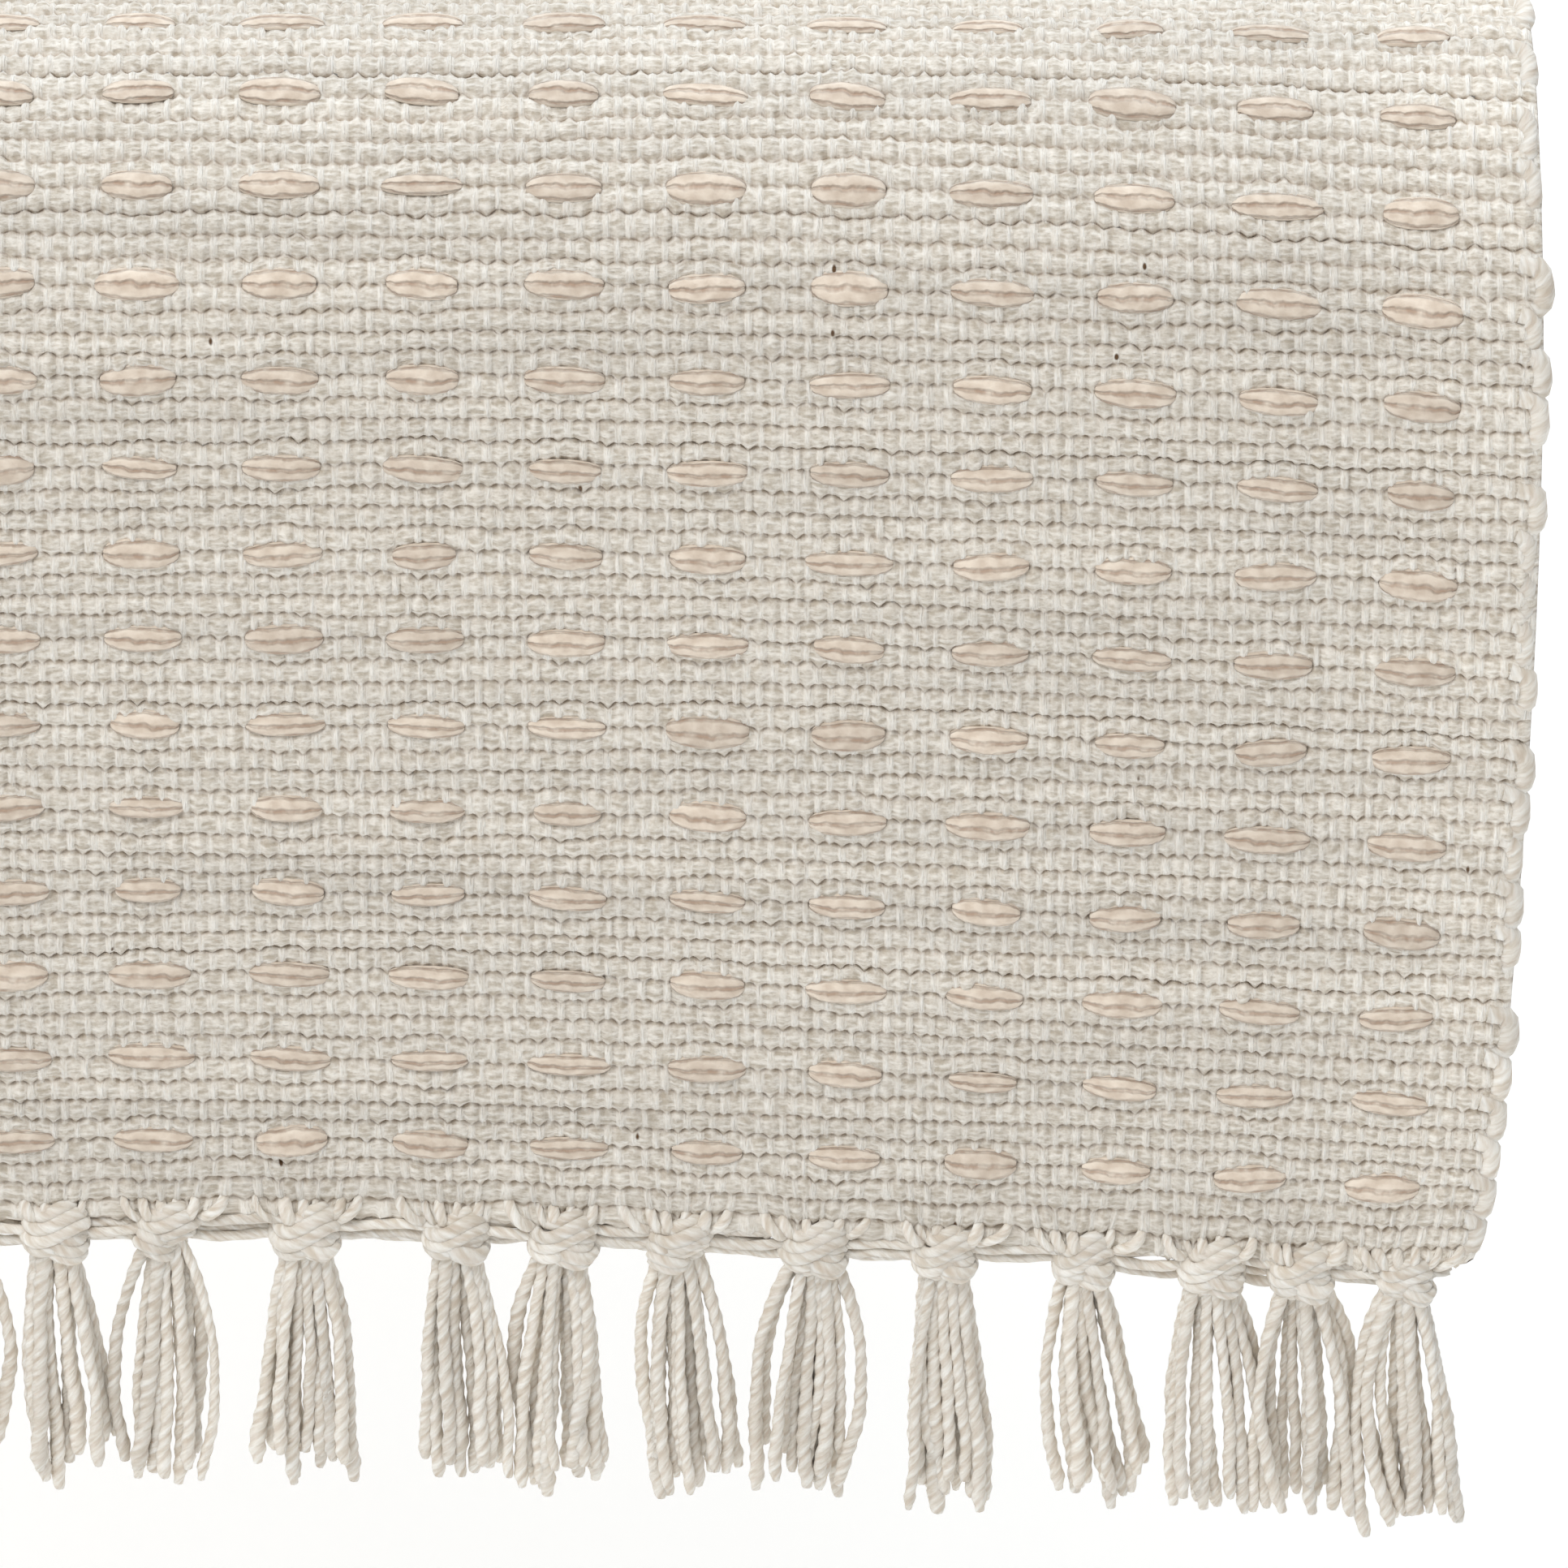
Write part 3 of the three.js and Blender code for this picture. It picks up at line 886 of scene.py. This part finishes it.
def slack_weft(side, fine):
    """The last weft bundle: five strands, each a parabola between two knots with a slow wave,
    that also sink past the last knots."""
    sign = SIDES[side]
    knots = KNOTS[side]
    share = np.linspace(0, 1, 14 if fine else 6)[None, :]
    stops = np.concatenate([[knots[0] - HEADER_TAIL], knots, [knots[-1] + HEADER_TAIL]])
    lanes = np.array([-0.9, -0.2, 0.6, 1.3, 2.0])
    left = np.repeat(stops[:-1], len(lanes))[:, None]
    right = np.repeat(stops[1:], len(lanes))[:, None]
    x = left + (right - left) * share
    each = rng.normal(size=(4, len(left), 1))
    lane = np.tile(lanes, len(stops) - 1)[:, None]
    wave = 0.30 * np.sin(2 * math.pi * (share * 1.2 + each[0]))
    sag = (0.5 + 0.5 * each[1]) * 4 * share * (1 - share)
    sag = sag - 2.6 * np.maximum(np.abs(x) - knots[-1], 0) / HEADER_TAIL
    z = header_line(x) + lane + 0.3 * each[3] - sag + wave
    y = -sign * (HEADER_OUT + 0.6 * np.sin(3 * lane) + 0.4 * each[2] + 0 * x)
    slack = np.stack([x, y, z], -1)
    radii = np.full(x.shape, 0.85)
    return tubes(slack, radii, frontwards(slack, sign), 7 if fine else 5, twist=1.2, lobes=0.10)


def warp_fans(side, fine):
    """The warp ends drawn together into the knots. Each goes from the last row to the nearest
    knot: across, it follows a power of its share of the way, and outwards it bulges by a power
    of a sine."""
    sign = SIDES[side]
    knots = KNOTS[side]
    ends = np.arange(0, ENDS, 2)[:, None] + 0.25 * rng.normal(size=(ENDS // 2, 1))
    row = np.full_like(ends, HEM - 1.15 if sign > 0 else 0.65)
    start = weave_point(ends, row, -0.5 + 0.25 * rng.normal(size=ends.shape), 1)
    middles = (knots[1:] + knots[:-1]) / 2
    knot = knots[np.searchsorted(middles, start[..., 0])]
    spread = np.clip((start[..., 0] - knot) * 0.55, -4.2, 4.2)
    share = np.linspace(0, 1, 9 if fine else 4)[None, :]
    x = start[..., 0] + (knot + spread - start[..., 0]) * share ** 1.8
    z = start[..., 2] + (header_line(knot) + 1.2 - start[..., 2]) * share
    y = start[..., 1] + (-sign * HEADER_OUT - start[..., 1]) * share
    over = 1.9 + 0.35 * rng.normal(size=ends.shape)
    y = y - sign * over * np.sin(math.pi * share) ** 0.7
    fans = np.stack([x, y, z], -1)
    swelling = 0.8 + 0.2 * smoothstep(share, 0.0, 0.3)
    radii = 0.88 * (1 + 0.15 * rng.normal(size=ends.shape)) * swelling + 0 * x
    return tubes(fans, radii, frontwards(fans, sign), 6 if fine else 4, twist=1.4, lobes=0.05,
                 tint=1.2 + 0.5 * rng.normal(size=len(ends)))


def hem_yarns(side, fine):
    """What lies below the last row: the slack weft bundle and the fans of warp ends."""
    return make_piece(f"{side}_hem_yarns", [slack_weft(side, fine), warp_fans(side, fine)],
                      cream_yarn)


def knot_rings(fine):
    """A knot as a turban: tilted oval rings stacked into a barrel, whose width is the root of
    one minus the squared height, and smaller ones tilted the other way low on one side."""
    rings = 5
    level = np.linspace(-1, 1, rings) + 0.05 * rng.normal(size=rings)
    turn = np.linspace(0, 2 * math.pi, 30 if fine else 12, endpoint=False)[None, :]
    barrel = np.sqrt(np.clip(1 - (level / 1.22) ** 2, 0.1, 1))[:, None]
    size = 1 + 0.07 * rng.normal()
    tilt = 0.34 + 0.12 * rng.normal()
    x = 4.15 * size * barrel * np.cos(turn)
    y = 3.1 * size * barrel * np.sin(turn)
    z = 2.75 * size * level[:, None] - tilt * x * np.sin(turn) * 1.35 + 0.12 * x
    main = np.stack([x, y, z], -1)
    low = np.linspace(-1, 1, LOBE_RINGS)[:, None]
    aside = 1.6 * (1 if rng.random() < 0.75 else -1)
    x = aside + 2.4 * size * np.cos(turn) * (1 - 0.2 * low ** 2)
    y = -1.2 + 2.2 * size * np.sin(turn) * (1 - 0.2 * low ** 2)
    z = -2.0 + 1.2 * low + 0.4 * (x - aside) * np.sin(turn)
    lobe = np.stack([x, y, z], -1)
    knot = np.concatenate([main, lobe])
    knot += 0.12 * rng.normal(size=(len(knot), 1, 3))
    lobe_centres = np.tile([aside, -1.2, -2.0], (LOBE_RINGS, 1, 1))
    away = knot - np.concatenate([np.zeros((rings, 1, 3)), lobe_centres])
    away[..., 2] *= 0.3
    radii = np.full(knot.shape[:2], 1.16) * (1 + 0.08 * rng.normal(size=(len(knot), 1)))
    return knot, radii, away, 8 if fine else 5, 0.8, 0.05, True


def hanging_yarns(fine):
    """The dozen or so yarns below a knot. Each goes from inside the knot out to its place in the
    skirt as one minus a power of what is left of its way down, so that it soon hangs straight,
    with two slow waves, and swells and closes at its end. Odd ones bow out to the side."""
    count = int(rng.integers(12, 16))
    across = np.linspace(-1, 1, count)[:, None] + 0.09 * rng.normal(size=(count, 1))
    across = across + 0.13 * np.sin(3 * math.pi * across + 6.3 * rng.random())
    share = np.linspace(0, 1, 60 if fine else 14)[None, :]
    length = 39.7 + 2.2 * rng.normal(size=(count, 1))
    length = np.clip(length, 33, 44)
    lean = 2.0 * rng.normal()
    width = 5.9 + 0.9 * rng.normal()
    each = rng.normal(size=(7, count, 1))
    spreading = 1 - (1 - share) ** 2.4
    x = across * (1.9 + (width - 1.9) * spreading) + lean * share ** 1.4
    stray = np.where(np.abs(each[6]) > 1.5, np.sign(across) * 2.6, 0.0)
    x = x + stray * np.sin(math.pi * share ** 0.8) + 0.8 * each[0] * share ** 2
    x = x + (0.40 * np.sin(2 * math.pi * (share * 1.1 + each[1])) * share
             + 0.16 * np.sin(2 * math.pi * (share * 3.1 + each[2])) * share)
    y = (2.0 * np.sin(2.4 * np.arange(count)[:, None]) * (0.6 + 0.4 * spreading)
         + 0.8 * each[3] * share - 0.4
         + 0.3 * np.sin(2 * math.pi * (share + each[4])) * share)
    z = -1.2 - length * share
    skirt = np.stack([x, y, z], -1)
    taper = np.where(share < 0.94, 1 + 0.09 * np.sin(11 * share + each[5]) + 0.40 * share ** 10,
                     1.24 - 9.0 * (share - 0.94))
    radii = 0.94 * taper * (1 + 0.10 * rng.normal(size=(count, 1)))
    return skirt, radii, frontwards(skirt, 1), 8 if fine else 5, 2.1, 0.11, False


def tassel(name, at, sign, fine):
    """A knot of doubled yarns with a dozen of them hanging from it."""
    flip = np.array([sign, sign, 1])
    sets = []
    for paths, radii, away, around, twist, lobes, loop in (knot_rings(fine), hanging_yarns(fine)):
        sets.append(tubes(at + paths * flip, radii, away * flip, around, twist, lobes, loop))
    return make_piece(name, sets, cream_yarn)


NEAR_TASSEL = -45                 # front tassels left of this are seen only from far away
tassels = {side: [] for side in SIDES}
hems = {}
for side, sign in SIDES.items():
    hem = hem_yarns(side, side == "front")
    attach(hem, f"{side}_drop")
    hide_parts(f"{side}_header_cord")
    hems[side] = hem
    for joint in swing_joints(side):
        label = joint.replace("swing_", "").replace(f"{side}_", f"{side}_tassel_")
        at = joint_at[joint]
        close = side == "front" and at[0] > NEAR_TASSEL
        made = tassel(f"{label}_yarns", at, sign, close)
        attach(made, label)
        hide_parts(label)
        tassels[side].append(made)

# ---------------------------------------------------------------- what goes with each hanging piece, gathered and not used

for (side, i), (cloth, low, high) in drop_pieces.items():
    going = list(goes_with[cloth.name])
    if i == 2:
        going += [hems[side], *tassels[side]]

# ---------------------------------------------------------------- the studio


def studio_floor():
    """A plain pale floor, far below the runner and wide enough to have no edge in sight."""
    mesh = bpy.data.meshes.new("floor")
    reach = 400.0
    mesh.from_pydata([(-reach, -reach, -0.75), (reach, -reach, -0.75), (reach, reach, -0.75),
                      (-reach, reach, -0.75)], [], [(0, 1, 2, 3)])
    floor = bpy.data.objects.new("floor", mesh)
    bpy.context.scene.collection.objects.link(floor)
    paint = bpy.data.materials.new("pale_floor_paint")
    paint.use_nodes = True
    surface = paint.node_tree.nodes["Principled BSDF"]
    surface.inputs["Base Color"].default_value = (0.88, 0.88, 0.87, 1)
    surface.inputs["Roughness"].default_value = 0.95
    surface.inputs["Specular IOR Level"].default_value = 0.1
    surface.inputs["Emission Color"].default_value = (1, 1, 1, 1)
    surface.inputs["Emission Strength"].default_value = 0.34
    mesh.materials.append(paint)


def soft_light(name, place, aim, size, watts, colour=(1, 1, 1)):
    """A square area light looking at a point, unseen by the camera itself."""
    light = bpy.data.lights.new(name, "AREA")
    light.shape = "SQUARE"
    light.size = size
    light.energy = watts
    light.color = colour
    lamp = bpy.data.objects.new(name, light)
    lamp.location = place
    direction = np.array(aim, float) - np.array(place, float)
    lamp.rotation_euler = turned_to(direction)
    lamp.visible_camera = False
    bpy.context.scene.collection.objects.link(lamp)


def turned_to(direction):
    """The turn that points an object's own downward axis along a direction, with its top up."""
    x, y, z = direction / np.linalg.norm(direction)
    return (math.acos(-z), 0.0, math.atan2(-x, y))


studio_floor()
soft_light("key_light", (-0.9, -2.0, 2.4), (0.05, -0.65, -0.1), 1.5, 46)
soft_light("top_light", (0.3, 0.2, 2.6), (0.0, 0.0, 0.0), 2.0, 33, (0.82, 0.91, 1.0))
soft_light("rear_light", (0.6, 2.4, 1.6), (0.0, 0.6, -0.1), 1.6, 26)

scene = bpy.context.scene
scene.view_settings.view_transform = "Standard"
world = bpy.data.worlds.new("pale_room")
world.use_nodes = True
background = world.node_tree.nodes["Background"]
background.inputs["Color"].default_value = (1.0, 1.0, 1.0, 1)
background.inputs["Strength"].default_value = 0.43
scene.world = world

CAMERA_PLACE = (0.0938, -2.9058, 1.0867)
CAMERA_AIM = (0.0938, -0.7080, -0.10505)
lens = bpy.data.cameras.new("camera")
lens.lens = 390.4
lens.sensor_width = 36
lens.clip_start = 0.05
lens.clip_end = 2000
camera = bpy.data.objects.new("camera", lens)
camera.location = CAMERA_PLACE
camera.rotation_euler = turned_to(np.array(CAMERA_AIM) - np.array(CAMERA_PLACE))
scene.collection.objects.link(camera)
scene.camera = camera

bpy.context.view_layer.update()
